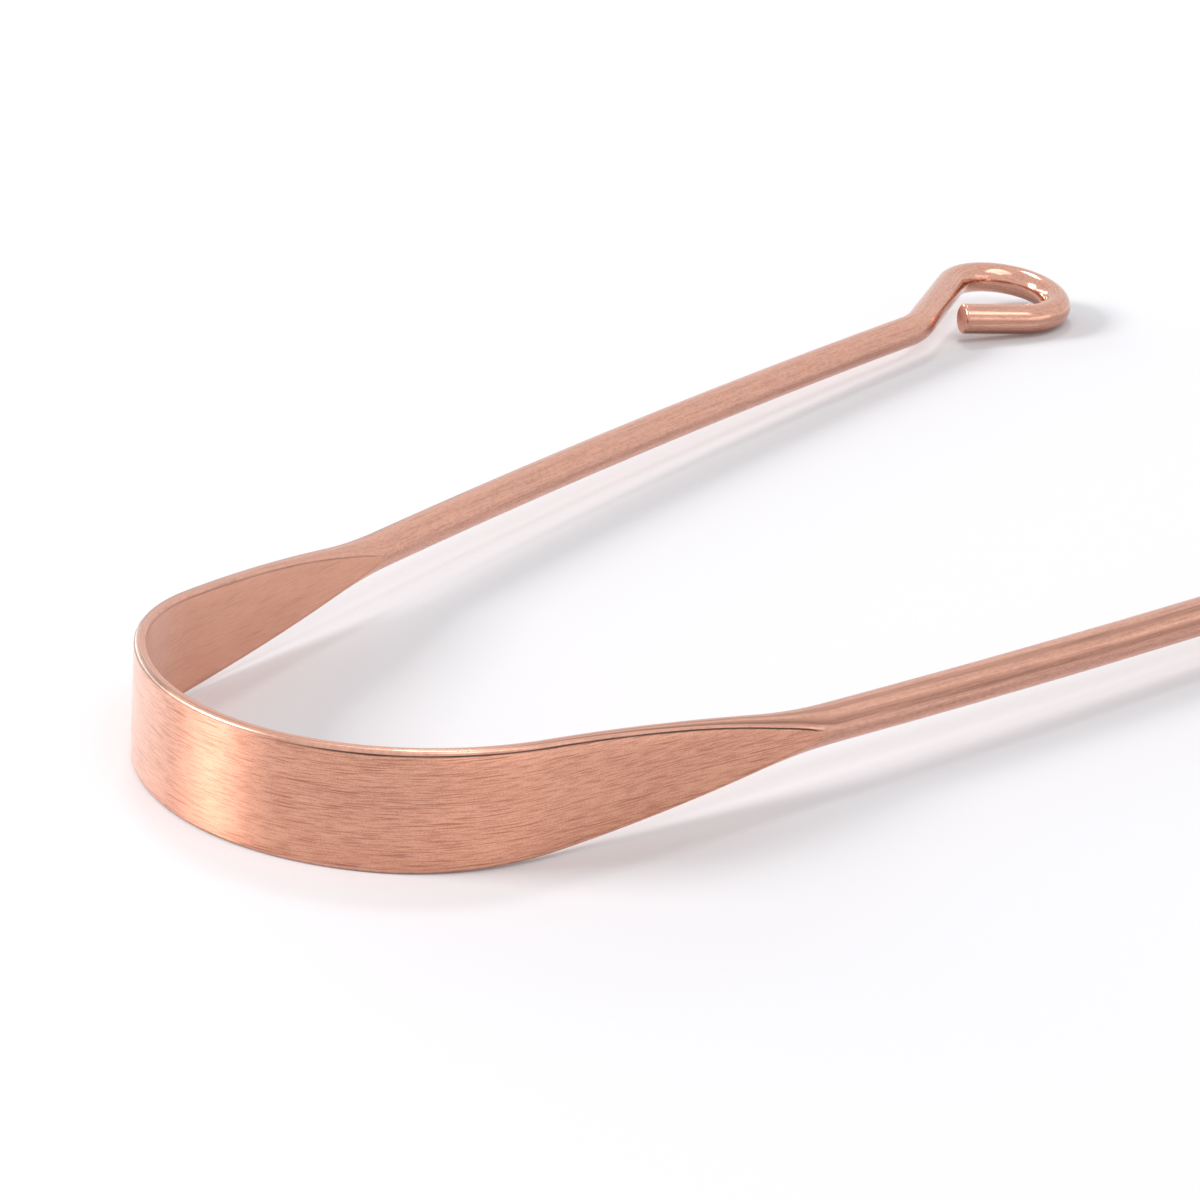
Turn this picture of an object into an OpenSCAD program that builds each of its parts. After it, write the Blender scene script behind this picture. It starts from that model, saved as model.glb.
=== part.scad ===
// Tongue scraper: one copper rod, pressed to an upright band round the top of a U, with an
// open eye for the finger curled in each end. It lies as it rests on a table.
// Origin: middle of the crown's bottom edge, on the table. +Y runs to the eyes, +Z is up.

/* [Rod] */
// Diameter of the round rod in the arms and the eyes
rod_d = 3; // [2.6:0.1:3.6]
// Length of each round arm, from its shoulder to its eye
arm_len = 82.6; // [50:0.1:120]
// Radius of the gentle inward bow of the shoulders and the arms
bow_r = 770; // [500:10:2000]

/* [Band] */
// Height of the pressed band
band_h = 9; // [7.5:0.1:11]
// Thickness of the pressed band
band_t = 0.9; // [0.7:0.05:1.2]
// Rounding of the band's long edges
edge_round = 0.2; // [0.1:0.01:0.3]
// Inward lean of the band's top edge, in degrees
lean = 4.5; // [0:0.1:6]
// Radius of the band's middle line round the crown
crown_r = 23; // [18:0.5:32]
// Half of the crown's arc, in degrees
crown_angle = 34; // [26:0.5:38]
// Radius of the band's middle line round each corner
corner_r = 16.5; // [13:0.5:22]
// Arc of each corner, in degrees
corner_angle = 43.7; // [38:0.1:48]
// Length over which the band grows into the round rod, from the end of the crown
taper_len = 33.4; // [26:0.1:42]

/* [Eye] */
// Radius of the bend that leads outward from the arm
neck_r = 9; // [6:0.5:12]
// Angle of that bend, in degrees
neck_angle = 21.5; // [16:0.5:26]
// Straight run from that bend to the ring
neck_len = 11.8; // [10:0.1:16]
// Radius of the rod's middle line round the ring
eye_r = 5.5; // [4.8:0.1:6]
// Turn of the ring, in degrees
eye_turn = 235; // [225:1:240]
// Straight end of the rod, past the ring
tail_len = 6.5; // [3:0.1:7]
// Tilt of the eye about the arm, outer side up, in degrees
eye_tilt = 8.7; // [0:0.1:14]

/* [Flexure] */
// Distance of each flexing point from the end of the crown's arc
flex_inset = 1.5; // [1.2:0.1:3]
// Running clearance round each flexing point
flex_gap = 0.04; // [0.02:0.01:0.08]

/* [Hidden] */
$fn = 48;
copper = [0.78, 0.50, 0.40];

// Facets of each lofted stretch: points round one corner of the section, and steps along
corner_points = 6;
loft_steps = 16;

// The lean puts the band's foot outside its middle line by this much
foot_shift = band_h / 2 * tan(lean);
// The nose of each flexing half covers the leaning band's full depth
nose_margin = 0.03;
nose_r = band_t / 2 + foot_shift + nose_margin;
seat_r = nose_r + flex_gap;
flex_angle = crown_angle - arc_degrees(crown_r, flex_inset);

// Headings along the right half: 0 at the crown's middle, 90 straight down the tool
shoulder_heading = crown_angle + corner_angle;
corner_len = arc_length(corner_r, corner_angle);
shoulder_len = taper_len - corner_len;
arm_heading = shoulder_heading + arc_degrees(bow_r, shoulder_len);
arm_angle = arc_degrees(bow_r, arm_len);

// Centres of the three arcs of the right half, and the start of its arm
crown_c = [0, foot_shift + crown_r];
corner_c = crown_c + (crown_r - corner_r) * outward(crown_angle);
bow_c = corner_c + (corner_r - bow_r) * outward(shoulder_heading);
arm_start = bow_c + bow_r * outward(arm_heading);

// Middle of the ring, measured along the arm and outward from it
eye_along = (neck_r + eye_r) * sin(neck_angle) + neck_len * cos(neck_angle);
eye_out = neck_r - (neck_r + eye_r) * cos(neck_angle) + neck_len * sin(neck_angle);

// The middle line falls steadily past the corner, so that the tilted ring just rests
eye_drop = band_h / 2 - rod_d / 2 - (eye_r - eye_out) * sin(eye_tilt);
slope = asin(eye_drop / (corner_len / 2 + shoulder_len + arm_len + eye_along));
arm_z = band_h / 2 - (corner_len / 2 + shoulder_len) * tan(slope);

function arc_length(r, a) = r * a * PI / 180;
function arc_degrees(r, len) = len / r * 180 / PI;
function outward(heading) = [sin(heading), -cos(heading)];

// Half of the section in height and in thickness. w runs from 0, flat, to 1, round. The
// metal that is pressed out of the thickness goes into the height.
function half_h(w) = (band_h + (rod_d - band_h) * w) / 2;
function half_t(w) = (band_t * band_h + (rod_d * rod_d - band_t * band_h) * w) / half_h(w) / 4;

// Points [inward, up] round the section, about its middle, one rounded corner after another
function section(w) =
    let (step = 90 / corner_points,
         round_t = (edge_round + (half_t(w) - edge_round) * sqrt(w)),
         round_h = (edge_round + (half_h(w) - edge_round) * w))
    [for (side = [[1, 1], [-1, 1], [-1, -1], [1, -1]], j = [0 : corner_points - 1])
        let (a = (j + 1 / 2) * step,
             c = side[0] * side[1] > 0 ? cos(a) : sin(a),
             s = side[0] * side[1] > 0 ? sin(a) : cos(a),
             up = side[1] * (half_h(w) - round_h + round_h * s / cos(step / 2)))
        [side[0] * (half_t(w) - round_t + round_t * c / cos(step / 2)) + up * tan(lean) * (1 - w),
         up]];

// One ring of a lofted stretch, on an arc about c with radius r, square to the falling line
function ring(c, r, heading, z, w, fall) =
    [for (p = section(w))
        let (foot = c + (r - p[0]) * outward(heading + arc_degrees(r, p[1] * sin(fall))))
        [foot[0], foot[1], z + p[1]]];

// Shape of the taper, at a distance from the end of the crown
function roundness(len) = pow(min(len / taper_len, 1), 2);

module loft(rings) {
    m = len(rings[0]);
    n = len(rings);
    walls = [for (i = [0 : n - 2], j = [0 : m - 1])
        let (k = (j + 1) % m)
        each [[i * m + j, (i + 1) * m + k, i * m + k],
              [i * m + j, (i + 1) * m + j, (i + 1) * m + k]]];
    start = [for (j = [1 : m - 2]) [0, j, j + 1]];
    end = [for (j = [1 : m - 2]) [(n - 1) * m, (n - 1) * m + j + 1, (n - 1) * m + j]];
    polyhedron(points = [for (r = rings) each r], faces = concat(walls, start, end));
}

module band_arc(from, to) {
    translate([crown_c[0], crown_c[1], band_h / 2])
        rotate(from - 90)
            rotate_extrude(angle = to - from)
                polygon([for (p = section(0)) [crown_r - p[0], p[1]]]);
}

module at_flexure() {
    point = crown_c + crown_r * outward(flex_angle);
    translate([point[0], point[1], 0]) rotate(flex_angle) children();
}

// Upright cylinder through the whole height of the band
module flex_pin(r) {
    translate([0, 0, -band_h / 2]) cylinder(h = 2 * band_h, r = r);
}

// A stretch of round rod from the origin along X: straight, or bent to the left
module straight(length) {
    rotate([0, 90, 0]) cylinder(h = length, d = rod_d);
}

module bend(r, angle) {
    translate([0, r, 0])
        rotate(-90)
            rotate_extrude(angle = angle)
                translate([r, 0])
                    circle(d = rod_d);
}

// Frame at the far end of a bend
module past_bend(r, angle) {
    translate([0, r, 0]) rotate(angle) translate([0, -r, 0]) children();
}

// Turned over about the rod, so that a leftward bend leads to the right
module turned_over() {
    rotate([180, 0, 0]) children();
}

module at_arm() {
    translate([arm_start[0], arm_start[1], arm_z]) rotate([0, slope, arm_heading]) children();
}

module at_neck() {
    at_arm() past_bend(bow_r, arm_angle) rotate([-eye_tilt, 0, 0]) turned_over() children();
}

module at_ring() {
    at_neck() past_bend(neck_r, neck_angle) turned_over() translate([neck_len, 0, 0]) children();
}

module band_crown() {
    color(copper)
        difference() {
            band_arc(-flex_angle, flex_angle);
            for (side = [0, 1])
                mirror([side, 0, 0]) at_flexure() flex_pin(seat_r);
        }
}

module crown_end() {
    color(copper)
        intersection() {
            band_arc(flex_angle - arc_degrees(crown_r, 2 * nose_r), crown_angle);
            at_flexure()
                union() {
                    flex_pin(nose_r);
                    translate([0, -2 * nose_r, -band_h / 2])
                        cube([2 * flex_inset, 4 * nose_r, 2 * band_h]);
                }
        }
}

module corner() {
    color(copper)
        loft([for (i = [0 : loft_steps])
            let (x = corner_len * i / loft_steps,
                 fall = slope * i / loft_steps)
            ring(corner_c, corner_r, crown_angle + arc_degrees(corner_r, x),
                 band_h / 2 - x * tan(fall) / 2, roundness(x), fall)]);
}

module shoulder() {
    color(copper)
        loft([for (i = [0 : loft_steps])
            let (x = shoulder_len * i / loft_steps)
            ring(bow_c, bow_r, shoulder_heading + arc_degrees(bow_r, x),
                 band_h / 2 - (corner_len / 2 + x) * tan(slope), roundness(corner_len + x), slope)]);
}

module arm() {
    color(copper) at_arm() bend(bow_r, arm_angle);
}

module neck() {
    color(copper) at_neck() bend(neck_r, neck_angle);
}

module eye() {
    color(copper)
        at_ring()
            union() {
                translate([-neck_len, 0, 0]) straight(neck_len);
                bend(eye_r, eye_turn);
            }
}

module eye_end() {
    color(copper) at_ring() past_bend(eye_r, eye_turn) straight(tail_len);
}

band_crown();
crown_end();  // right_crown_end
mirror([1, 0, 0]) crown_end();  // left_crown_end
corner();  // right_corner
mirror([1, 0, 0]) corner();  // left_corner
shoulder();  // right_shoulder
mirror([1, 0, 0]) shoulder();  // left_shoulder
arm();  // right_arm
mirror([1, 0, 0]) arm();  // left_arm
neck();  // right_neck
mirror([1, 0, 0]) neck();  // left_neck
eye();  // right_eye
mirror([1, 0, 0]) eye();  // left_eye
eye_end();  // right_eye_end
mirror([1, 0, 0]) eye_end();  // left_eye_end
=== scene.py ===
"""Tongue scraper: a copper rod pressed flat round the top of a U, with an open eye at each end.

Each half is swept along the rod's own line: a band round the crown and the corner, a shoulder
in which the band grows into the round rod, a long arm, and an eye with its neck and cropped end.
"""

import math
from typing import NamedTuple

import bmesh
import bpy
from bpy.props import FloatProperty, FloatVectorProperty, PointerProperty
from mathutils import Matrix, Vector, noise


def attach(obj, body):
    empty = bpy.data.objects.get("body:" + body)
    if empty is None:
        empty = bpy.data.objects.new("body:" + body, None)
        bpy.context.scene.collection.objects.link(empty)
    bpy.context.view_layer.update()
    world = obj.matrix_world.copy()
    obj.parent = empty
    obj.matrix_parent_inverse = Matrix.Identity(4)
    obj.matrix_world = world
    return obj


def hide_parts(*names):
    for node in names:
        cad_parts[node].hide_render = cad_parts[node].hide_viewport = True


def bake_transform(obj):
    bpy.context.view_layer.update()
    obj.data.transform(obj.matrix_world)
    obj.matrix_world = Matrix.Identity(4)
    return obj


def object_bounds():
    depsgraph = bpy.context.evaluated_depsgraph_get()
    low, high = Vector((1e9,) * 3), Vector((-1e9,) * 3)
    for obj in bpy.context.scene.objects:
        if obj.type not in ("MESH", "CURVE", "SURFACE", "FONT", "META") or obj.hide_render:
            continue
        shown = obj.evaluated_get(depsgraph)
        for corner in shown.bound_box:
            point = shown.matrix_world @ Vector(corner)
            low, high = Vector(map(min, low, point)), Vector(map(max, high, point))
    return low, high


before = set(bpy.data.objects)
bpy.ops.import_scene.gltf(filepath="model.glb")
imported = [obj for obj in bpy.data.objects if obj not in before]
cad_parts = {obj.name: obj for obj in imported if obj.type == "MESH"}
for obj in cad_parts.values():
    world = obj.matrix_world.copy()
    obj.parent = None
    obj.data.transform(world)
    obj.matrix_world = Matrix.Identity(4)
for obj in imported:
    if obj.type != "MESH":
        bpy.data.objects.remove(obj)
cad_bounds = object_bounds()

bl_info = {
    "name": "Copper Tongue Scraper",
    "version": (1, 0, 0),
    "blender": (4, 5, 0),
    "location": "View3D > Sidebar > Tongue Scraper",
    "description": "Builds a pressed copper tongue scraper round its CAD frame",
    "category": "Add Mesh",
}

MM = 0.001


def mm(value):
    """A length in millimetres, as Blender's metres."""
    return value * MM


# Name of each half, and the way it lies along X
SIDES = (("right", 1), ("left", -1))

# The kink at the taper's end is eased over this share of the taper, to either side
EASE = 0.1
# The pressed facet starts to run out this many lengths of its tip before the taper's end
RUN_OUT = 4.0
# A stretch reaches this much past its end, because distances are rounded
SLACK = 1e-9

# Strips of a quarter section: on the face, on its rounded edge and over the rim
FACE_STEPS = 4
EDGE_STEPS = 4
RIM_STEPS = 10
# Half height that is left of a face where the facet has run out
LEAST_FACE = mm(0.12)
# Least rounding between a face and its rim, and least angle left to the rim, in radians
LEAST_ROUND = mm(0.015)
LEAST_RIM = 0.02

# Across a crease: share of its width, and share of its depth there
GROOVE = ((0.3, 0.75), (0.5, 1.0), (0.7, 0.75))
# Depth of the creases as a share, which also sets their painted shade: over the outer face of each
# side, over the inner, at the foot
OUTER_CREASE = {1: 1.0, -1: 0.6}
INNER_CREASE = 0.4
FOOT_CREASE = 0.2
# The outer crease starts this far from the crown's middle, and deepens over this length
CREASE_START = mm(5)
CREASE_GROWTH = mm(5)
# Each crease fades over this length before the facet's tip
CREASE_FADE = mm(0.9)
# The depth of a crease wavers by this share, over this length
WAVER_SHARE = 0.3
WAVER_LENGTH = mm(2.3)
# Each crease reads its own row of the noise, off the lattice, on which noise is always 0
NOISE_ROW = 7.1
OFF_LATTICE = 0.5
# The rim beside the outer crease gets painted shade that hides its highlight: how much on each
# side, from where, how soon in full, and over how many strips of the rim it fades
RIM_SHADE = {1: 0.0, -1: 0.55}
RIM_SHADE_START = mm(4)
RIM_SHADE_GROWTH = mm(2)
RIM_SHADE_STEPS = 6

# Distance between rings along the rod
BAND_STEP = mm(0.45)
SHOULDER_STEP = mm(0.35)
FACET_TIP_STEP = mm(0.25)
ARM_STEP = mm(1.0)
# The same for an eye's neck, straight run, ring and cropped end
EYE_STEPS = (mm(0.3), mm(1.2), mm(0.25), mm(1.0))
# One more ring this close to each end keeps the shading even from one piece to the next
END_RING = mm(0.03)
# Rings of a chamfer, in chamfers: how far before the cropped end, and how much narrower
CHAMFER_RINGS = ((1.25, 0.0), (1.0, 0.0), (0.5, 0.3), (0.0, 1.0))

# The UV map holds millimetres along the rod from the crown's middle, and across. Across, the
# outer face lies about 0 and the other two about these, so that no pattern meets another.
UV_MAP = "RodLines"
INNER_FACE = 20.0
ROUND_ROD = 40.0
# A facet's strip may reach this far past its tip
FACET_MARGIN = mm(0.05)
# Half the girth of the round rod, in millimetres
HALF_GIRTH = math.pi * 1.5
# Name of the layer that holds the painted shade in and beside a crease
CREASE_SHADE_LAYER = "crease"
# Place of each finish in a piece's list of materials
FACE_SLOT = 0
ROD_SLOT = 1
END_SLOT = 2

# Degrees round the rod from its top, outward positive, and how dark the metal is made there:
# partly the drawing die's marks, partly painted shade and painted reflection bands
DIE_MARKS_AND_PAINTED_BANDS = ((-180, 0.2), (180, 0.2), (-150, 0.1), (-120, 0.05), (-98, 0.05), (-76, 0.05),
             (-52, 0.1), (-30, 0.05), (-6, 0.05), (3, 0.52), (12, 0.52), (20, 0.1), (36, 0.02),
             (46, 0.55), (51, 0.82), (61, 0.82), (67, 0.35), (76, 0.02), (90, 0.0),
             (105, 0.1), (130, 0.1), (160, 0.3))
# In millimetres: where the marks' own top lies across the UV map, how far they wind round the
# rod for each millimetre along it, and how far they wander to and fro
MARKS_TOP = ROUND_ROD - 0.15
MARKS_TWIST = -0.012
MARKS_WANDER = 0.5
# The stains break up the marks: strength of a mark for the stains' raw height, and its least
MARKS_BY_STAIN = 1.6
LEAST_MARK = 0.05

# Millimetres across the UV map between which one face's lines give way to the other's, and
# what is left of the lines inside
FACE_CHANGE = (11, 13)
INNER_LINES = 0.4
# Millimetres along the rod between which it gets burnished, and the share of roughness left
BURNISH_GROWTH = (131, 137)
BURNISHED = 0.5
# How dark the painted shade in a crease of full depth is: past 1, so that it stays dark where it
# wavers
CREASE_SHADE_STRENGTH = 1.15
# Roughness between the lines and in them
BAND_ROUGHNESS = (0.38, 0.44)
ROD_ROUGHNESS = (0.26, 0.40)
# Roughness of the film of wax
FILM_ROUGHNESS = 0.3
# Height of the lines' relief, and of the grain torn across a cropped end
LINE_HEIGHT = mm(0.02)
TORN_HEIGHT = mm(0.04)
# Share of a turn from the run of the lines to the way in which they spread the sheen
ACROSS_LINES = 0.25

# Where the photograph was taken from: degrees, millimetres and the frame's own pixels
CAMERA_AZIMUTH = 45.01
CAMERA_ELEVATION = 21.976
CAMERA_DISTANCE = 287.379
CAMERA_TARGET = (-11.022, 50.105, 0.0)
FOCAL_PIXELS = 3515.7
FRAME_PIXELS = 1200
SENSOR_WIDTH = 36.0
# Nearest and furthest that the camera sees, in metres
CAMERA_CLIP = (0.01, 20)

# Light of a white lamp and of a window. The room's light is all but white.
WHITE = (1.0, 1.0, 1.0)
DAYLIGHT = (0.74, 0.94, 1.0)
ROOM_LIGHT = (0.96, 0.97, 1.0)
ROOM_STRENGTH = 0.47
# The floor's own faint glow, for the eye and for what the metal reflects
FLOOR_GLOW = 0.07
# Number of corners that stand for the floor's round rim
FLOOR_CORNERS = 96
# Distance of every soft box from the camera's target
BOX_DISTANCE = 3.0


class SoftBox(NamedTuple):
    """A lamp's name, direction in degrees, size in metres, power in watts and colour."""

    name: str
    azimuth: float
    elevation: float
    width: float
    height: float
    power: float
    colour: tuple


SOFT_BOXES = (
    SoftBox("key_box", -48.5, 28.0, 1.10, 0.80, 68.0, WHITE),
    SoftBox("side_box", -92.0, 14.0, 2.6, 0.95, 34.0, DAYLIGHT),
    SoftBox("back_box", -135.0, 56.0, 0.5, 0.5, 13.0, WHITE),
    SoftBox("top_box", 88.0, 62.0, 2.0, 1.8, 20.0, WHITE),
    SoftBox("right_box", 110.0, 14.0, 2.4, 1.0, 3.6, WHITE),
)


class ScraperForm(bpy.types.PropertyGroup):
    """Sizes of the rod's line and of its section."""

    rod_d: FloatProperty(
        name="Rod diameter", description="Diameter of the round rod in the arms and eyes",
        default=mm(3), unit="LENGTH")
    arm_len: FloatProperty(
        name="Arm length", description="Length of each round arm, from its shoulder to its eye",
        default=mm(82.6), unit="LENGTH")
    bow_r: FloatProperty(
        name="Arm bow", description="Radius of the gentle inward bow of shoulders and arms",
        default=mm(770), unit="LENGTH")
    band_h: FloatProperty(
        name="Band height", description="Height of the pressed band",
        default=mm(9), unit="LENGTH")
    band_t: FloatProperty(
        name="Band thickness", description="Thickness of the pressed band",
        default=mm(0.9), unit="LENGTH")
    lean: FloatProperty(
        name="Band lean", description="Inward lean of the band's top edge",
        default=math.radians(4.5), subtype="ANGLE")
    crown_r: FloatProperty(
        name="Crown radius", description="Radius of the band's middle line round the crown",
        default=mm(23), unit="LENGTH")
    crown_angle: FloatProperty(
        name="Crown arc", description="Half of the crown's arc",
        default=math.radians(34), subtype="ANGLE")
    corner_r: FloatProperty(
        name="Corner radius", description="Radius of the band's middle line round each corner",
        default=mm(16.5), unit="LENGTH")
    corner_angle: FloatProperty(
        name="Corner arc", description="Arc of each corner",
        default=math.radians(43.7), subtype="ANGLE")
    taper_len: FloatProperty(
        name="Taper length", description="Length over which the band grows into the rod",
        default=mm(33.4), unit="LENGTH")
    neck_r: FloatProperty(
        name="Neck radius", description="Radius of the bend that leads outward from the arm",
        default=mm(9), unit="LENGTH")
    neck_angle: FloatProperty(
        name="Neck bend", description="Angle of the bend that leads outward from the arm",
        default=math.radians(21.5), subtype="ANGLE")
    neck_len: FloatProperty(
        name="Neck length", description="Straight run from the neck's bend to the ring",
        default=mm(11.8), unit="LENGTH")
    eye_r: FloatProperty(
        name="Eye radius", description="Radius of the rod's middle line round the ring",
        default=mm(5.5), unit="LENGTH")
    eye_turn: FloatProperty(
        name="Eye turn", description="Turn of the ring",
        default=math.radians(235), subtype="ANGLE")
    tail_len: FloatProperty(
        name="Tail length", description="Straight end of the rod, past the ring",
        default=mm(6.5), unit="LENGTH")
    eye_tilt: FloatProperty(
        name="Eye tilt", description="Tilt of the eye about the arm, outer side up",
        default=math.radians(8.7), subtype="ANGLE")
    edge_round: FloatProperty(
        name="Edge rounding", description="How far the band's long edges are rounded off",
        default=mm(0.17), unit="LENGTH")
    rim_dome: FloatProperty(
        name="Rim dome", description="Half width of the oval whose top is the pressed rim",
        default=mm(2.15), unit="LENGTH")
    leaf_tip: FloatProperty(
        name="Facet run-out", description="How far past the taper the pressed facet ends in a tip",
        default=mm(1.7), unit="LENGTH")
    crease_depth: FloatProperty(
        name="Crease depth", description="Depth of the fine crease between face and rim",
        default=mm(0.07), unit="LENGTH")
    crease_width: FloatProperty(
        name="Crease width", description="Width of the fine crease between face and rim",
        default=mm(0.19), unit="LENGTH")
    end_chamfer: FloatProperty(
        name="End chamfer", description="Chamfer round the rod's cropped ends",
        default=mm(0.18), unit="LENGTH")


def hex_to_linear(code):
    """An sRGB colour such as D29A80 as linear red, green and blue."""
    parts = [int(code[i:i + 2], 16) / 255 for i in (0, 2, 4)]
    return tuple(c / 12.92 if c <= 0.04045 else ((c + 0.055) / 1.055) ** 2.4 for c in parts)


class ScraperFinish(bpy.types.PropertyGroup):
    """Colours and pattern sizes of the finishes."""

    band_colour: FloatVectorProperty(
        name="Band copper", description="Colour of the brushed copper faces",
        default=hex_to_linear("E9AB8E"), subtype="COLOR", min=0, max=1)
    line_colour: FloatVectorProperty(
        name="Brush lines", description="Colour in the brush lines of the faces",
        default=hex_to_linear("B8765D"), subtype="COLOR", min=0, max=1)
    rod_colour: FloatVectorProperty(
        name="Rod copper", description="Colour of the drawn rod and the rims",
        default=hex_to_linear("E3AE99"), subtype="COLOR", min=0, max=1)
    streak_colour: FloatVectorProperty(
        name="Drawing streaks", description="Colour in the drawing streaks of the rod",
        default=hex_to_linear("9C7263"), subtype="COLOR", min=0, max=1)
    # Colour of the painted shade in the fine creases and on the shaded rim beside them
    crease_colour: FloatVectorProperty(
        name="Crease", description="Colour of the metal in the fine crease between face and rim",
        default=hex_to_linear("4A2E24"), subtype="COLOR", min=0, max=1)
    end_colour: FloatVectorProperty(
        name="Cropped ends", description="Colour of the freshly cropped rod ends",
        default=hex_to_linear("E3B09A"), subtype="COLOR", min=0, max=1)
    brush_spacing: FloatProperty(
        name="Brush spacing", description="Distance between brush lines across the band",
        default=mm(0.095), unit="LENGTH")
    brush_length: FloatProperty(
        name="Brush length", description="Usual length of one brush line along the band",
        default=mm(1.6), unit="LENGTH")
    streak_spacing: FloatProperty(
        name="Streak spacing", description="Distance between drawing streaks round the rod",
        default=mm(0.75), unit="LENGTH")
    streak_length: FloatProperty(
        name="Streak length", description="Usual length of one drawing streak along the rod",
        default=mm(30), unit="LENGTH")


class ScraperStudio(bpy.types.PropertyGroup):
    """Colour and size of the floor."""

    floor_colour: FloatVectorProperty(
        name="Floor", description="Colour of the pale floor",
        default=hex_to_linear("E8E6E8"), subtype="COLOR", min=0, max=1)
    floor_size: FloatProperty(
        name="Floor radius", description="Radius of the round floor",
        default=3.0, unit="LENGTH")


def turn_x(angle):
    """A turn about the X axis."""
    return Matrix.Rotation(angle, 4, "X")


def turn_z(angle):
    """A turn about the Z axis."""
    return Matrix.Rotation(angle, 4, "Z")


def shift(x, y=0.0, z=0.0):
    """A move."""
    return Matrix.Translation((x, y, z))


def past_bend(radius, angle):
    """From the start of a leftward bend to its end."""
    return shift(0, radius) @ turn_z(angle) @ shift(0, -radius)


def turn_in(at, angle):
    """A turn about this place's own Z axis, for directions."""
    axes = at.to_3x3()
    return axes @ turn_z(angle).to_3x3() @ axes.inverted()


def outward(heading):
    """Away from the inside of the U, where the rod runs along this heading."""
    return Vector((math.sin(heading), -math.cos(heading)))


def mirrored(point, side):
    """The point on this side of the U."""
    return Vector((side * point.x, point.y, point.z))


def rise(value, start, length):
    """0 up to the start, then evenly up to 1 over the length."""
    return min(max((value - start) / length, 0), 1)


class Run(NamedTuple):
    """A straight or bent run of round rod.

    It reaches from start to end along the rod, and a bend has a radius. The directions are the
    section's own "out" and "up" where the run starts.
    """

    start: float
    end: float
    at: Matrix
    radius: float | None
    out_dir: Vector
    up_dir: Vector


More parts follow.
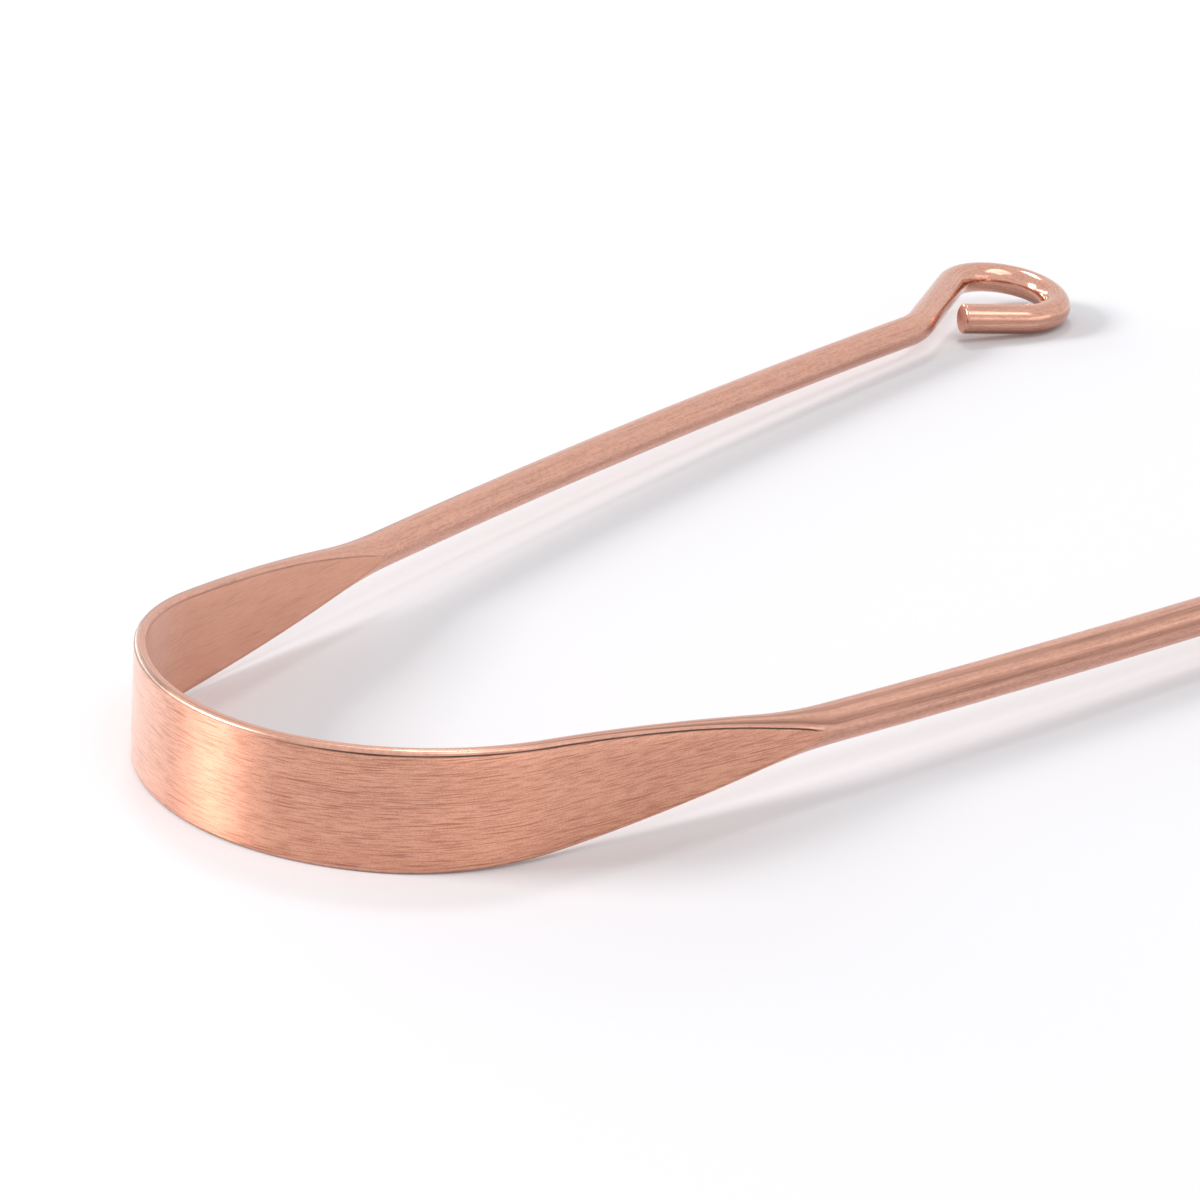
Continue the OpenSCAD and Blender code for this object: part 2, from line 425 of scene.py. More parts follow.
class RodLine:
    """The right half of the rod from the crown's middle to its cropped end."""

    def __init__(self, form):
        self.form = f = form
        self.crown_len = f.crown_r * f.crown_angle
        self.corner_len = f.corner_r * f.corner_angle
        self.band_end = self.crown_len + self.corner_len
        self.shoulder_end = self.crown_len + f.taper_len
        self.facet_tip = self.shoulder_end + f.leaf_tip
        self.arm_end = self.shoulder_end + f.arm_len
        self.shoulder_heading = f.crown_angle + f.corner_angle
        shoulder_len = f.taper_len - self.corner_len
        arm_heading = self.shoulder_heading + shoulder_len / f.bow_r

        # The lean puts the band's foot outside its middle line
        foot_shift = f.band_h / 2 * math.tan(f.lean)
        self.crown_c = Vector((0, foot_shift + f.crown_r))
        self.corner_c = self.crown_c + (f.crown_r - f.corner_r) * outward(f.crown_angle)
        self.bow_c = self.corner_c + (f.corner_r - f.bow_r) * outward(self.shoulder_heading)
        arm_start = self.bow_c + f.bow_r * outward(arm_heading)

        # The middle line falls steadily past the corner, so that the tilted ring just rests
        along = (f.neck_r + f.eye_r) * math.sin(f.neck_angle) + f.neck_len * math.cos(f.neck_angle)
        out = (f.neck_r - (f.neck_r + f.eye_r) * math.cos(f.neck_angle)
               + f.neck_len * math.sin(f.neck_angle))
        drop = f.band_h / 2 - f.rod_d / 2 - (f.eye_r - out) * math.sin(f.eye_tilt)
        self.slope = math.asin(drop / (self.corner_len / 2 + shoulder_len + f.arm_len + along))
        arm_z = f.band_h / 2 - (self.corner_len / 2 + shoulder_len) * math.tan(self.slope)

        at_arm = (shift(arm_start.x, arm_start.y, arm_z) @ turn_z(arm_heading)
                  @ Matrix.Rotation(self.slope, 4, "Y"))
        at_neck = at_arm @ past_bend(f.bow_r, f.arm_len / f.bow_r) @ turn_x(math.pi - f.eye_tilt)
        at_straight = at_neck @ past_bend(f.neck_r, f.neck_angle) @ turn_x(math.pi)
        at_ring = at_straight @ shift(f.neck_len)
        at_tail = at_ring @ past_bend(f.eye_r, f.eye_turn)

        # The section is carried along the runs without any twist
        out_dir = -(at_arm.to_3x3() @ Vector((0, 1, 0)))
        up_dir = at_arm.to_3x3() @ Vector((0, 0, 1))
        self.runs = []
        start = self.shoulder_end
        for at, radius, length in (
                (at_arm, f.bow_r, f.arm_len),
                (at_neck, f.neck_r, f.neck_r * f.neck_angle),
                (at_straight, None, f.neck_len),
                (at_ring, f.eye_r, f.eye_r * f.eye_turn),
                (at_tail, None, f.tail_len)):
            self.runs.append(Run(start, start + length, at, radius, out_dir, up_dir))
            if radius:
                turn = turn_in(at, length / radius)
                out_dir = turn @ out_dir
                up_dir = turn @ up_dir
            start += length

    def roundness(self, s):
        """0 where the rod is pressed flat, 1 where it is round."""
        return rise(s, self.crown_len, self.form.taper_len) ** 2

    def growth(self, s):
        """The roundness with the kink at the taper's end eased, as the press leaves it."""
        share = max(s - self.crown_len, 0) / self.form.taper_len
        near = max(EASE - abs(share - 1), 0) / EASE
        smooth_share = min(share, 1) - near * near * EASE / 4
        return smooth_share ** 2

    def pressed(self, s):
        """(half height, oval's half width, half thickness between the facets) at s."""
        f = self.form
        w = self.growth(s)
        half_h = (f.band_h + (f.rod_d - f.band_h) * w) / 2
        half_w = f.rim_dome + (f.rod_d / 2 - f.rim_dome) * w
        # The pressed facet runs out past the taper, so its thickness lags behind the height
        if s < self.facet_tip:
            run_from = self.shoulder_end - RUN_OUT * f.leaf_tip
            share = max(s - run_from, 0) / (self.facet_tip - run_from)
            w = min(self.roundness(s - f.leaf_tip * share ** 2), w)
        # The metal that is pressed out of the thickness goes into the height
        height = f.band_h + (f.rod_d - f.band_h) * w
        half_t = (f.band_t * f.band_h + (f.rod_d ** 2 - f.band_t * f.band_h) * w) / height / 2
        return half_h, half_w, min(half_t, half_w)

    def place(self, s, n, u):
        """The point n outward and u up from the middle line, s along it."""
        if s <= self.shoulder_end + SLACK:
            return self.place_pressed(s, n, u)
        return self.place_round(s, n, u)

    def place_pressed(self, s, n, u):
        """The same on the crown, the corner or the shoulder."""
        f = self.form
        if s <= self.crown_len:
            centre, radius, heading = self.crown_c, f.crown_r, s / f.crown_r
            z, fall = f.band_h / 2, 0.0
        elif s <= self.band_end:
            x = s - self.crown_len
            centre, radius, heading = self.corner_c, f.corner_r, f.crown_angle + x / f.corner_r
            fall = self.slope * x / self.corner_len
            z = f.band_h / 2 - x * math.tan(fall) / 2
        else:
            x = s - self.band_end
            centre, radius, heading = self.bow_c, f.bow_r, self.shoulder_heading + x / f.bow_r
            fall = self.slope
            z = f.band_h / 2 - (self.corner_len / 2 + x) * math.tan(fall)
        inward = -n + u * math.tan(f.lean) * (1 - self.roundness(s))
        flat = centre + (radius - inward) * outward(heading + u * math.sin(fall) / radius)
        return Vector((flat.x, flat.y, z + u))

    def place_round(self, s, n, u):
        """The same on the arm or the eye."""
        run = next(run for run in self.runs if s <= run.end + SLACK)
        x = s - run.start
        if not run.radius:
            return run.at @ Vector((x, 0, 0)) + n * run.out_dir + u * run.up_dir
        angle = x / run.radius
        turn = turn_in(run.at, angle)
        middle = (run.at @ past_bend(run.radius, angle)).to_translation()
        return middle + n * (turn @ run.out_dir) + u * (turn @ run.up_dir)


class SectionPoint(NamedTuple):
    """A point of a section: outward, up, whether on a face, and how dark the painted shade makes
    the metal there.
    """

    n: float
    u: float
    on_face: bool
    dark: float


def quarter(line, s, crease, rim_shade=0.0):
    """From the middle of a face over a crease of this depth to the middle of the rim, with painted
    shade in the crease and, as much as rim_shade says, on the rim beside it.
    """
    f = line.form
    half_h, half_w, half_t = line.pressed(s)

    def depth(u):
        """Half thickness of the section at this height."""
        return min(half_t, half_w * math.sqrt(max(1 - (u / half_h) ** 2, 0)))

    # The rounded edge takes up a third of the face at most, and the crease half of the rest
    face = max(half_h * math.sqrt(max(1 - (half_t / half_w) ** 2, 0)), LEAST_FACE)
    setback = min(f.edge_round * (1 - line.roundness(s)) ** 2 + LEAST_ROUND, face / 3)
    width = min(f.crease_width, (face - setback) / 2)
    flat = face - setback - width
    points = [SectionPoint(depth(flat * i / FACE_STEPS), flat * i / FACE_STEPS, True, 0.0)
              for i in range(FACE_STEPS + 1)]
    # Painted shade in the crease, as deep as the crease itself
    for share, deep in GROOVE:
        u = flat + share * width
        points.append(SectionPoint(depth(u) - crease * deep, u, True,
                                   deep * crease / f.crease_depth))
    start = (depth(face - setback), face - setback)
    points.append(SectionPoint(*start, True, 0.0))

    # The edge is rounded as far to either side of its corner, along the face and the oval
    corner = (depth(face), face)
    angle = math.asin(face / half_h)
    speed = math.hypot(half_w * math.sin(angle), half_h * math.cos(angle))
    angle = min(angle + setback / speed, math.pi / 2 - LEAST_RIM)
    end = (half_w * math.cos(angle), half_h * math.sin(angle))
    for i in range(1, EDGE_STEPS):
        t = i / EDGE_STEPS
        n, u = ((1 - t) ** 2 * a + 2 * t * (1 - t) * b + t * t * c
                for a, b, c in zip(start, corner, end))
        points.append(SectionPoint(n, u, False, rim_shade))
    for i in range(RIM_STEPS + 1):
        a = angle + (math.pi / 2 - angle) * i / RIM_STEPS
        points.append(SectionPoint(half_w * math.cos(a), half_h * math.sin(a), False,
                                   rim_shade * max(1 - i / RIM_SHADE_STEPS, 0)))
    return points


def wobble(s, row):
    """A slow, repeatable waver between -1 and 1 along the rod."""
    return noise.noise(Vector((s / WAVER_LENGTH, row * NOISE_ROW, OFF_LATTICE)))


def ring(line, s, side, shrink=1.0):
    """Once round a section, from the middle of the outer face over the top."""
    fade = rise(line.facet_tip - s, 0, CREASE_FADE)
    shares = (rise(s, CREASE_START, CREASE_GROWTH) * OUTER_CREASE[side], INNER_CREASE, FOOT_CREASE)
    outer, inner, foot = (share * line.form.crease_depth * fade
                          * (1 + WAVER_SHARE * wobble(s, row))
                          for row, share in enumerate(shares, 1))
    top_out = quarter(line, s, outer, RIM_SHADE[side] * rise(s, RIM_SHADE_START, RIM_SHADE_GROWTH) * fade)
    top_in = quarter(line, s, inner)
    low = quarter(line, s, foot)
    quarters = ((1, 1, top_out), (-1, 1, top_in[-2::-1]), (-1, -1, low[1:]), (1, -1, low[-2:0:-1]))
    return [SectionPoint(out * p.n * shrink, up * p.u * shrink, p.on_face, p.dark)
            for out, up, points in quarters for p in points]


def stations(start, end, step):
    """Distances along the rod, with one more next to each end."""
    count = max(math.ceil((end - start) / step), 2)
    inner = [start + (end - start) * i / count for i in range(1, count)]
    return [start, start + END_RING] + inner + [end - END_RING, end]


def rod_piece(name, line, side, marks, materials, chamfer=None):
    """A closed stretch of the rod as a mesh object, on one side of the U."""
    radius = line.form.rod_d / 2
    shrinks = [1.0] * len(marks)
    if chamfer:
        marks = marks[:-2] + [marks[-1] - back * chamfer for back, slim in CHAMFER_RINGS]
        shrinks[-2:] = [1 - slim * chamfer / radius for back, slim in CHAMFER_RINGS]
    rings = [ring(line, s, side, shrink) for s, shrink in zip(marks, shrinks)]
    count = len(rings[0])
    # The strips of every section are mapped at the angles that they have round the arm
    angles = [math.atan2(p.n, p.u) for p in ring(line, line.arm_end, side)]

    work = bmesh.new()
    uv_layer = work.loops.layers.uv.new(UV_MAP)
    crease_shade_layer = work.verts.layers.float.new(CREASE_SHADE_LAYER)
    rows = []
    for s, points in zip(marks, rings):
        row = [work.verts.new(mirrored(line.place(s, p.n, p.u), side)) for p in points]
        for vert, p in zip(row, points):
            vert[crease_shade_layer] = p.dark
        rows.append(row)

    for i in range(len(rows) - 1):
        for j in range(count):
            k = (j + 1) % count
            corners = [(i, j), (i, k), (i + 1, k), (i + 1, j)]
            if side > 0:
                corners.reverse()
            made = work.faces.new([rows[a][b] for a, b in corners])
            made.smooth = True
            on_face = (rings[i][j].on_face and rings[i][k].on_face
                       and marks[i + 1] < line.facet_tip + FACET_MARGIN)
            made.material_index = FACE_SLOT if on_face else ROD_SLOT
            for loop, (a, b) in zip(made.loops, corners):
                if on_face:
                    p = rings[a][b]
                    across = p.u / MM if p.n > 0 else INNER_FACE - p.u / MM
                else:
                    angle = angles[b]
                    # Under the rod the angle starts afresh, a whole turn on
                    if b == j and angles[k] - angle > math.pi:
                        angle += 2 * math.pi
                    across = angle * radius / MM + ROUND_ROD
                loop[uv_layer].uv = (side * marks[a] / MM, across)

    for row, at_end in ((rows[0], False), (rows[-1], True)):
        cap = work.faces.new(row if at_end == (side > 0) else row[::-1])
        cap.smooth = False
        cap.material_index = END_SLOT if at_end and chamfer else ROD_SLOT
        for edge in cap.edges:
            edge.smooth = False
        for loop in cap.loops:
            loop[uv_layer].uv = (loop.vert.co.x / MM, loop.vert.co.z / MM)

    work.normal_update()
    mesh = bpy.data.meshes.new(name)
    work.to_mesh(mesh)
    work.free()
    for material in materials:
        mesh.materials.append(material)
    piece = bpy.data.objects.new(name, mesh)
    bpy.context.scene.collection.objects.link(piece)
    return piece


def add_node(tree, kind, settings=None, links=None):
    """Adds a node. Settings fill its properties and sockets, links join sockets to outputs."""
    node = tree.nodes.new(kind)
    for name, value in (settings or {}).items():
        if isinstance(name, int) or name in node.inputs:
            node.inputs[name].default_value = value
        else:
            setattr(node, name, value)
    for name, output in (links or {}).items():
        tree.links.new(output, node.inputs[name])
    return node


def rgba(colour):
    """A colour with full alpha, as a node's socket takes it."""
    return (*tuple(colour)[:3], 1.0)


def new_material(name):
    """An empty material and its node tree."""
    material = bpy.data.materials.new(name)
    material.use_nodes = True
    material.node_tree.nodes.clear()
    return material, material.node_tree


class Pattern(NamedTuple):
    """A pattern's outputs: its raw height, and how dark it makes the metal."""

    height: bpy.types.NodeSocket
    darkness: bpy.types.NodeSocket


def grain(tree, spacing, length, detail, seed, dark, light, deepest, slant=0.0):
    """Grains of this spacing and length, lying along the rod but for a slant in degrees.

    The darkness runs from deepest where the raw height is dark or less, to 0 where it is light.
    """
    lines = add_node(tree, "ShaderNodeUVMap", {"uv_map": UV_MAP})
    place = add_node(tree, "ShaderNodeMapping",
                     {"vector_type": "TEXTURE", "Scale": (length / MM, spacing / MM, 1),
                      "Rotation": (0, 0, math.radians(slant)), "Location": (seed, 0, seed)},
                     {"Vector": lines.outputs["UV"]})
    height = add_node(tree, "ShaderNodeTexNoise",
                      {"Scale": 1.0, "Detail": detail, "Roughness": 0.55},
                      {"Vector": place.outputs["Vector"]})
    darkness = add_node(tree, "ShaderNodeMapRange",
                        {"From Min": dark, "From Max": light, "To Min": deepest, "To Max": 0.0},
                        {"Value": height.outputs["Fac"]})
    return Pattern(height.outputs["Fac"], darkness.outputs["Result"])


def total(tree, first, *others):
    """The sum of some darknesses, at most 1."""
    for other in others:
        added = add_node(tree, "ShaderNodeMath", {"operation": "ADD", "use_clamp": True},
                         {0: first, 1: other})
        first = added.outputs[0]
    return first


class Spot(NamedTuple):
    """Outputs of millimetres along the rod from the crown's middle, and across the UV map."""

    along: bpy.types.NodeSocket
    across: bpy.types.NodeSocket


def spot(tree):
    """Where on the rod the shaded point lies."""
    lines = add_node(tree, "ShaderNodeUVMap", {"uv_map": UV_MAP})
    parts = add_node(tree, "ShaderNodeSeparateXYZ", {}, {"Vector": lines.outputs["UV"]})
    along = add_node(tree, "ShaderNodeMath", {"operation": "ABSOLUTE"}, {0: parts.outputs["X"]})
    return Spot(along.outputs[0], parts.outputs["Y"])


def plainer_inside(tree):
    """1 on the outer faces, less on the inner ones, whose lines are worn faint."""
    worn = add_node(tree, "ShaderNodeMapRange",
                    {"From Min": FACE_CHANGE[0], "From Max": FACE_CHANGE[1],
                     "To Min": 1.0, "To Max": INNER_LINES}, {"Value": spot(tree).across})
    return worn.outputs["Result"]


def burnished_eyes(tree):
    """1 along the arms, less past the neck, where fingers have burnished the eyes."""
    smooth = add_node(tree, "ShaderNodeMapRange",
                      {"From Min": BURNISH_GROWTH[0], "From Max": BURNISH_GROWTH[1],
                       "To Min": 1.0, "To Max": BURNISHED}, {"Value": spot(tree).along})
    return smooth.outputs["Result"]


def die_marks(tree, wander):
    """Long dark bands round the rod at set angles from its top, which wander a little along it:
    partly the drawing die's marks, partly painted shade and painted reflection bands.
    """
    here = spot(tree)
    twisted = add_node(tree, "ShaderNodeMath", {"operation": "MULTIPLY_ADD", 1: MARKS_TWIST},
                       {0: here.along, 2: here.across})
    shifted = add_node(tree, "ShaderNodeMath", {"operation": "MULTIPLY_ADD", 1: MARKS_WANDER},
                       {0: wander, 2: twisted.outputs[0]})
    turn = add_node(tree, "ShaderNodeMapRange",
                    {"From Min": MARKS_TOP - HALF_GIRTH, "From Max": MARKS_TOP + HALF_GIRTH},
                    {"Value": shifted.outputs[0]})
    ramp = add_node(tree, "ShaderNodeValToRGB", {}, {"Fac": turn.outputs["Result"]})
    ramp.color_ramp.interpolation = "EASE"
    stops = ramp.color_ramp.elements
    for i, (degrees, dark) in enumerate(DIE_MARKS_AND_PAINTED_BANDS):
        position = degrees / 360 + 0.5
        # A new ramp has two stops already, for the first two marks
        stop = stops[i] if i < 2 else stops.new(position)
        stop.position = position
        stop.color = (dark, dark, dark, 1)
    return ramp.outputs["Color"]


def creased(tree, colour, finish):
    """The colour, darkened by painted shade in the fine crease between a face and its rim, and on
    the rim beside it.
    """
    crease = add_node(tree, "ShaderNodeAttribute", {"attribute_name": CREASE_SHADE_LAYER})
    depth = add_node(tree, "ShaderNodeMath",
                     {"operation": "MULTIPLY", "use_clamp": True, 1: CREASE_SHADE_STRENGTH},
                     {0: crease.outputs["Fac"]})
    mixed = add_node(tree, "ShaderNodeMix", {"data_type": "RGBA", 7: rgba(finish.crease_colour)},
                     {0: depth.outputs[0], 6: colour})
    return mixed.outputs[2]


def copper_shader(tree, colour, rough, height, spread, relief, film=0.0):
    """Metal whose sheen spreads across the lines along the rod, bare or under a film of wax."""
    bump = add_node(tree, "ShaderNodeBump", {"Strength": relief, "Distance": LINE_HEIGHT},
                    {"Height": height})
    tangent = add_node(tree, "ShaderNodeTangent", {"direction_type": "UV_MAP", "uv_map": UV_MAP})
    shader = add_node(tree, "ShaderNodeBsdfPrincipled",
                      {"Metallic": 1.0, "Anisotropic": spread,
                       "Anisotropic Rotation": ACROSS_LINES,
                       "Coat Weight": film, "Coat Roughness": FILM_ROUGHNESS},
                      {"Base Color": colour, "Roughness": rough,
                       "Normal": bump.outputs["Normal"], "Tangent": tangent.outputs["Tangent"]})
    add_node(tree, "ShaderNodeOutputMaterial", {}, {"Surface": shader.outputs["BSDF"]})


def brushed_pressed_copper(finish):
    """Copper pressed flat, brushed lengthwise with a fine abrasive belt, then thinly waxed.

    The eye sees a soft satin sheen that spreads across the lines, short red-brown scratches
    along the band, faint cloudy patches where the die has burnished the metal, and a slight
    pale veil where light grazes the clear film.
    """
    material, tree = new_material("brushed_pressed_copper")
    # Real scratches and pits are about 0.05 mm apart. They are drawn coarse enough to show.
    scratches = grain(tree, spacing=finish.brush_spacing, length=finish.brush_length, detail=2,
                      seed=3.1, dark=0.36, light=0.56, deepest=0.5, slant=1.5)
    # Deeper gouges, which are fewer and about twice as long
    gouges = grain(tree, spacing=finish.brush_spacing * 1.1, length=finish.brush_length * 2.2,
                   detail=1, seed=9.7, dark=0.29, light=0.39, deepest=1.0, slant=0.6)
    patches = grain(tree, spacing=mm(2.2), length=mm(5), detail=1,
                    seed=17.3, dark=0.34, light=0.62, deepest=0.12)
    pits = grain(tree, spacing=mm(0.09), length=mm(0.14), detail=2,
                 seed=7.9, dark=0.36, light=0.60, deepest=0.34)
    lines = add_node(tree, "ShaderNodeMath", {"operation": "MULTIPLY"},
                     {0: total(tree, scratches.darkness, gouges.darkness, pits.darkness),
                      1: plainer_inside(tree)})
    dark = total(tree, lines.outputs[0], patches.darkness)
    colour = add_node(tree, "ShaderNodeMix",
                      {"data_type": "RGBA", 6: rgba(finish.band_colour),
                       7: rgba(finish.line_colour)}, {0: dark})
    rough = add_node(tree, "ShaderNodeMapRange",
                     {"To Min": BAND_ROUGHNESS[0], "To Max": BAND_ROUGHNESS[1]}, {"Value": dark})
    copper_shader(tree, creased(tree, colour.outputs[2], finish), rough.outputs["Result"],
                  scratches.height, spread=0.95, relief=0.15, film=1.0)
    return material


def drawn_copper_rod(finish):
    """Copper rod drawn through a die and left bare, its eyes burnished by fingers.

    The eye sees long dark and light streaks down the rod, partly real drawing streaks and partly
    painted shade and painted reflection bands, with a mottle of faint stains, and crisper
    highlights round the eyes.
    """
    material, tree = new_material("drawn_copper_rod")
    streaks = grain(tree, spacing=finish.streak_spacing, length=finish.streak_length, detail=1,
                    seed=5.3, dark=0.36, light=0.54, deepest=0.12)
    # Hairlines from the grit in the die, closer together and shorter than its streaks
    hairlines = grain(tree, spacing=finish.streak_spacing / 5, length=finish.streak_length / 6,
                      detail=1, seed=11.9, dark=0.34, light=0.50, deepest=0.22)
    stains = grain(tree, spacing=mm(0.22), length=mm(0.5), detail=3,
                   seed=21.7, dark=0.36, light=0.60, deepest=0.26)
    uneven = add_node(tree, "ShaderNodeMath",
                      {"operation": "MULTIPLY_ADD", 1: MARKS_BY_STAIN, 2: LEAST_MARK},
                      {0: stains.height})
    # Painted shade and reflection bands, with the die's marks, broken up by the stains
    marks = add_node(tree, "ShaderNodeMath", {"operation": "MULTIPLY"},
                     {0: die_marks(tree, streaks.height), 1: uneven.outputs[0]})
    dark = total(tree, marks.outputs[0], streaks.darkness, hairlines.darkness, stains.darkness)
    colour = add_node(tree, "ShaderNodeMix",
                      {"data_type": "RGBA", 6: rgba(finish.rod_colour),
                       7: rgba(finish.streak_colour)}, {0: dark})
    satin = add_node(tree, "ShaderNodeMapRange",
                     {"To Min": ROD_ROUGHNESS[0], "To Max": ROD_ROUGHNESS[1]}, {"Value": dark})
    rough = add_node(tree, "ShaderNodeMath", {"operation": "MULTIPLY"},
                     {0: satin.outputs["Result"], 1: burnished_eyes(tree)})
    copper_shader(tree, creased(tree, colour.outputs[2], finish), rough.outputs[0],
                  hairlines.height, spread=0.4, relief=0.25)
    return material


def cropped_copper_end(finish):
    """Copper rod cropped by a shear and lightly filed.

    The eye sees a paler, duller disc with a fine grain torn across it.
    """
    material, tree = new_material("cropped_copper_end")
    tears = grain(tree, spacing=mm(0.12), length=mm(0.5), detail=3,
                  seed=2.9, dark=0.35, light=0.60, deepest=0.4)
    colour = add_node(tree, "ShaderNodeMix",
                      {"data_type": "RGBA", 6: rgba(finish.end_colour),
                       7: rgba(finish.streak_colour)}, {0: tears.darkness})
    bump = add_node(tree, "ShaderNodeBump", {"Strength": 0.5, "Distance": TORN_HEIGHT},
                    {"Height": tears.height})
    shader = add_node(tree, "ShaderNodeBsdfPrincipled", {"Metallic": 1.0, "Roughness": 0.5},
                      {"Base Color": colour.outputs[2], "Normal": bump.outputs["Normal"]})
    add_node(tree, "ShaderNodeOutputMaterial", {}, {"Surface": shader.outputs["BSDF"]})
    return material


def finishes(finish):
    """The three finishes of the rod, made once: face, rod and cropped end."""
    makers = (brushed_pressed_copper, drawn_copper_rod, cropped_copper_end)
    return [bpy.data.materials.get(make.__name__) or make(finish) for make in makers]


class SCRAPER_OT_band(bpy.types.Operator):
    """Adds the pressed band: one piece on each side of the crown's middle"""

    bl_idname = "scraper.band"
    bl_label = "Band"
    bl_options = {"REGISTER", "UNDO"}

    def execute(self, context):
        line = RodLine(context.scene.scraper_form)
        marks = stations(0.0, line.band_end, BAND_STEP)
        for name, side in SIDES:
            piece = rod_piece(f"{name}_band", line, side, marks,
                              finishes(context.scene.scraper_finish))
            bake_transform(piece)
            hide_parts("band_crown", f"{name}_crown_end", f"{name}_corner")
        return {"FINISHED"}


class SCRAPER_OT_shoulders(bpy.types.Operator):
    """Adds the two shoulders, where the flat band grows into the round rod"""

    bl_idname = "scraper.shoulders"
    bl_label = "Shoulders"
    bl_options = {"REGISTER", "UNDO"}

    def execute(self, context):
        line = RodLine(context.scene.scraper_form)
        marks = stations(line.band_end, line.shoulder_end, SHOULDER_STEP)
        for name, side in SIDES:
            piece = rod_piece(f"{name}_shoulder_taper", line, side, marks,
                              finishes(context.scene.scraper_finish))
            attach(piece, f"{name}_half")
            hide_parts(f"{name}_shoulder")
        return {"FINISHED"}


class SCRAPER_OT_arms(bpy.types.Operator):
    """Adds the two round arms"""

    bl_idname = "scraper.arms"
    bl_label = "Arms"
    bl_options = {"REGISTER", "UNDO"}

    def execute(self, context):
        line = RodLine(context.scene.scraper_form)
        marks = stations(line.shoulder_end, line.facet_tip, FACET_TIP_STEP)[:-2]
        marks += stations(line.facet_tip, line.arm_end, ARM_STEP)
        for name, side in SIDES:
            piece = rod_piece(f"{name}_arm_rod", line, side, marks,
                              finishes(context.scene.scraper_finish))
            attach(piece, f"{name}_half")
            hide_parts(f"{name}_arm")
        return {"FINISHED"}


class SCRAPER_OT_eyes(bpy.types.Operator):
    """Adds the two open finger eyes, each with its neck and its cropped end"""

    bl_idname = "scraper.eyes"
    bl_label = "Finger eyes"
    bl_options = {"REGISTER", "UNDO"}

    def execute(self, context):
        form = context.scene.scraper_form
        line = RodLine(form)
        marks = []
        for run, step in zip(line.runs[1:], EYE_STEPS):
            marks = marks[:-1] + stations(run.start, run.end, step)
        for name, side in SIDES:
            piece = rod_piece(f"{name}_finger_eye", line, side, marks,
                              finishes(context.scene.scraper_finish),
                              chamfer=form.end_chamfer)
            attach(piece, f"{name}_half")
            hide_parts(f"{name}_neck", f"{name}_eye", f"{name}_eye_end")
        return {"FINISHED"}


def direction(azimuth, elevation):
    """From the object, at an azimuth where 0 is along -Y and 90 along +X, in degrees."""
    a = math.radians(azimuth)
    e = math.radians(elevation)
    return Vector((math.sin(a) * math.cos(e), -math.cos(a) * math.cos(e), math.sin(e)))


def aim(thing, target, away, distance):
    """Adds a lamp or a camera to the scene, this distance from the target and pointed at it."""
    thing.location = target + away * distance
    thing.rotation_euler = away.to_track_quat("Z", "Y").to_euler()
    bpy.context.scene.collection.objects.link(thing)


def seen_directly(tree):
    """1 for rays from the camera and for those that metal or glass reflects or lets through."""
    path = add_node(tree, "ShaderNodeLightPath")
    seen = path.outputs["Is Camera Ray"]
    for name in ("Is Glossy Ray", "Is Transmission Ray"):
        seen = add_node(tree, "ShaderNodeMath", {"operation": "MAXIMUM"},
                        {0: seen, 1: path.outputs[name]}).outputs[0]
    return seen


def matt_white_laminate(studio):
    """Pressed laminate with a matt surface. The eye sees only paleness and the shadows."""
    material, tree = new_material("matt_white_laminate")
    matt = add_node(tree, "ShaderNodeBsdfDiffuse", {"Color": rgba(studio.floor_colour)})
    glow = add_node(tree, "ShaderNodeEmission", {"Color": rgba(WHITE), "Strength": FLOOR_GLOW})
    both = add_node(tree, "ShaderNodeAddShader", {}, {0: matt.outputs[0], 1: glow.outputs[0]})
    mixed = add_node(tree, "ShaderNodeMixShader", {},
                     {0: seen_directly(tree), 1: matt.outputs[0], 2: both.outputs[0]})
    add_node(tree, "ShaderNodeOutputMaterial", {}, {"Surface": mixed.outputs[0]})
    return material


def white_studio():
    """A pale room that lights the object evenly, and that the camera sees as plain white."""
    world = bpy.data.worlds.new("white_studio")
    world.use_nodes = True
    tree = world.node_tree
    tree.nodes.clear()
    room = add_node(tree, "ShaderNodeBackground",
                    {"Color": rgba(ROOM_LIGHT), "Strength": ROOM_STRENGTH})
    white = add_node(tree, "ShaderNodeBackground", {"Color": rgba(WHITE), "Strength": 1.0})
    mixed = add_node(tree, "ShaderNodeMixShader", {},
                     {0: seen_directly(tree), 1: room.outputs[0], 2: white.outputs[0]})
    add_node(tree, "ShaderNodeOutputWorld", {}, {"Surface": mixed.outputs[0]})
    return world


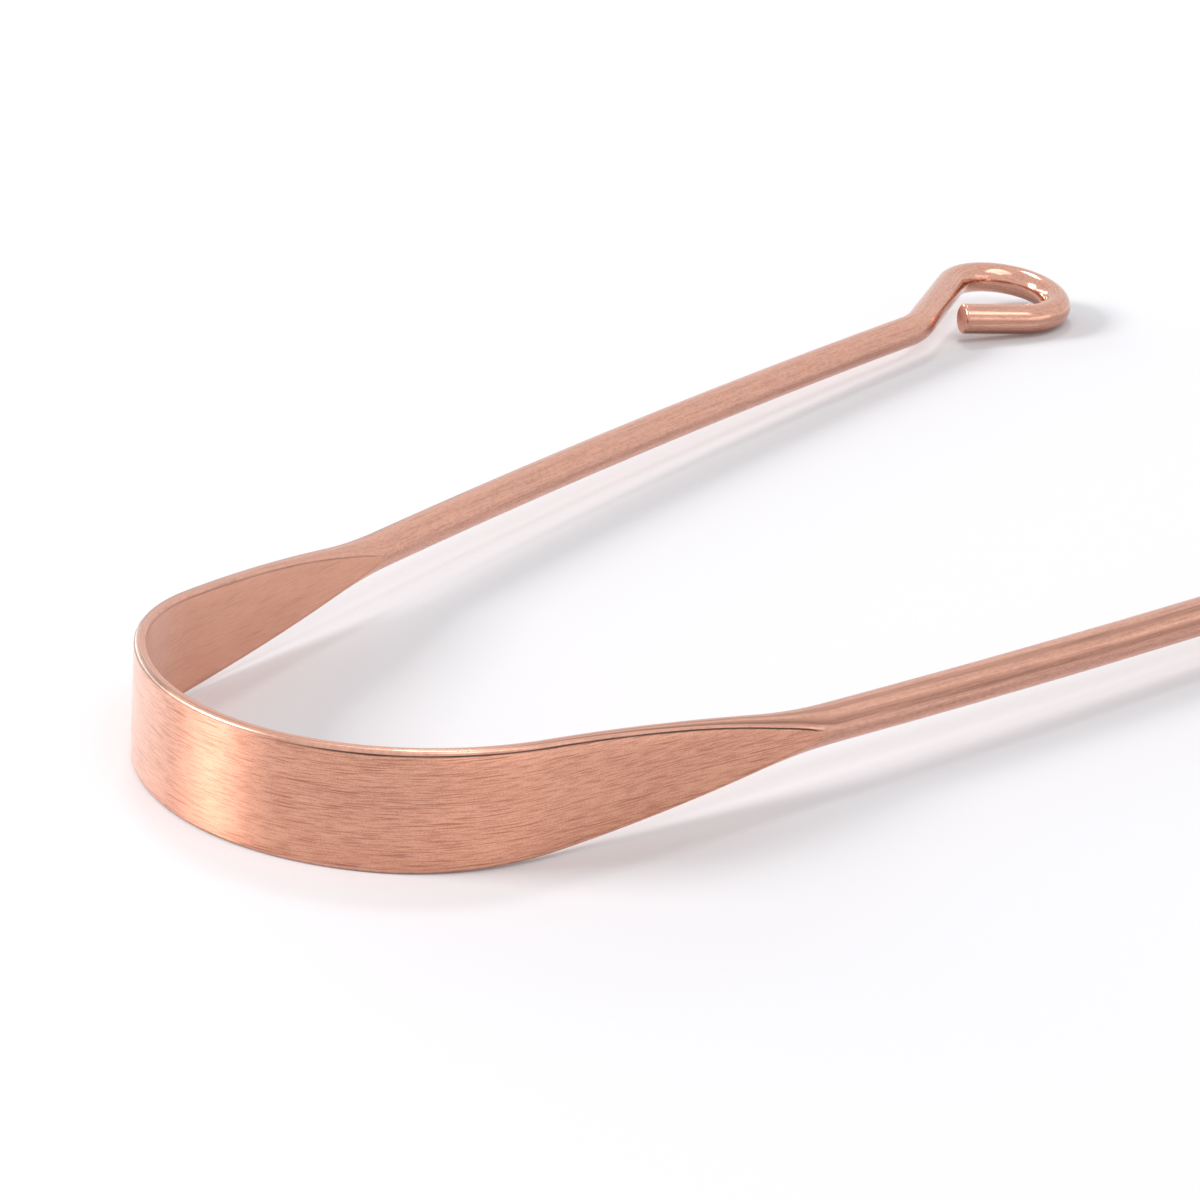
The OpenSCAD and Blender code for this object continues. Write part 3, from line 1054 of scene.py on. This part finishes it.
class SCRAPER_OT_studio(bpy.types.Operator):
    """Adds the pale floor, the soft boxes, the white surroundings and the camera"""

    bl_idname = "scraper.studio"
    bl_label = "Studio"
    bl_options = {"REGISTER", "UNDO"}

    def execute(self, context):
        scene = context.scene
        studio = scene.scraper_studio
        scene.view_settings.view_transform = "Standard"
        scene.world = white_studio()
        target = Vector(CAMERA_TARGET) * MM

        work = bmesh.new()
        bmesh.ops.create_circle(work, cap_ends=True, radius=studio.floor_size,
                                segments=FLOOR_CORNERS)
        mesh = bpy.data.meshes.new("floor")
        work.to_mesh(mesh)
        work.free()
        mesh.materials.append(matt_white_laminate(studio))
        floor = bpy.data.objects.new("floor", mesh)
        floor.location.z = cad_bounds[0].z
        scene.collection.objects.link(floor)

        for box in SOFT_BOXES:
            lamp = bpy.data.lights.new(box.name, "AREA")
            lamp.shape = "RECTANGLE"
            lamp.size = box.width
            lamp.size_y = box.height
            lamp.energy = box.power
            lamp.color = box.colour
            aim(bpy.data.objects.new(box.name, lamp), target,
                direction(box.azimuth, box.elevation), BOX_DISTANCE)

        lens = bpy.data.cameras.new("camera")
        lens.sensor_width = SENSOR_WIDTH
        lens.lens = SENSOR_WIDTH * FOCAL_PIXELS / FRAME_PIXELS
        lens.clip_start, lens.clip_end = CAMERA_CLIP
        camera = bpy.data.objects.new("camera", lens)
        aim(camera, target, direction(CAMERA_AZIMUTH, CAMERA_ELEVATION), CAMERA_DISTANCE * MM)
        scene.camera = camera
        return {"FINISHED"}


OPERATORS = (SCRAPER_OT_band, SCRAPER_OT_shoulders, SCRAPER_OT_arms, SCRAPER_OT_eyes,
             SCRAPER_OT_studio)


class SCRAPER_PT_panel(bpy.types.Panel):
    """Lists the scraper's pieces and their sizes and colours"""

    bl_idname = "SCRAPER_PT_panel"
    bl_label = "Tongue Scraper"
    bl_space_type = "VIEW_3D"
    bl_region_type = "UI"
    bl_category = "Tongue Scraper"

    def draw(self, context):
        layout = self.layout
        for operator in OPERATORS:
            layout.operator(operator.bl_idname)
        for group in ("scraper_form", "scraper_finish", "scraper_studio"):
            box = layout.box()
            values = getattr(context.scene, group)
            for name in values.__annotations__:
                box.prop(values, name)


CLASSES = (ScraperForm, ScraperFinish, ScraperStudio, *OPERATORS, SCRAPER_PT_panel)


def register():
    for cls in CLASSES:
        bpy.utils.register_class(cls)
    bpy.types.Scene.scraper_form = PointerProperty(type=ScraperForm)
    bpy.types.Scene.scraper_finish = PointerProperty(type=ScraperFinish)
    bpy.types.Scene.scraper_studio = PointerProperty(type=ScraperStudio)


def unregister():
    del bpy.types.Scene.scraper_studio
    del bpy.types.Scene.scraper_finish
    del bpy.types.Scene.scraper_form
    for cls in reversed(CLASSES):
        bpy.utils.unregister_class(cls)


def main():
    register()
    bpy.ops.scraper.band()
    bpy.ops.scraper.shoulders()
    bpy.ops.scraper.arms()
    bpy.ops.scraper.eyes()
    bpy.ops.scraper.studio()


if __name__ == "__main__":
    main()
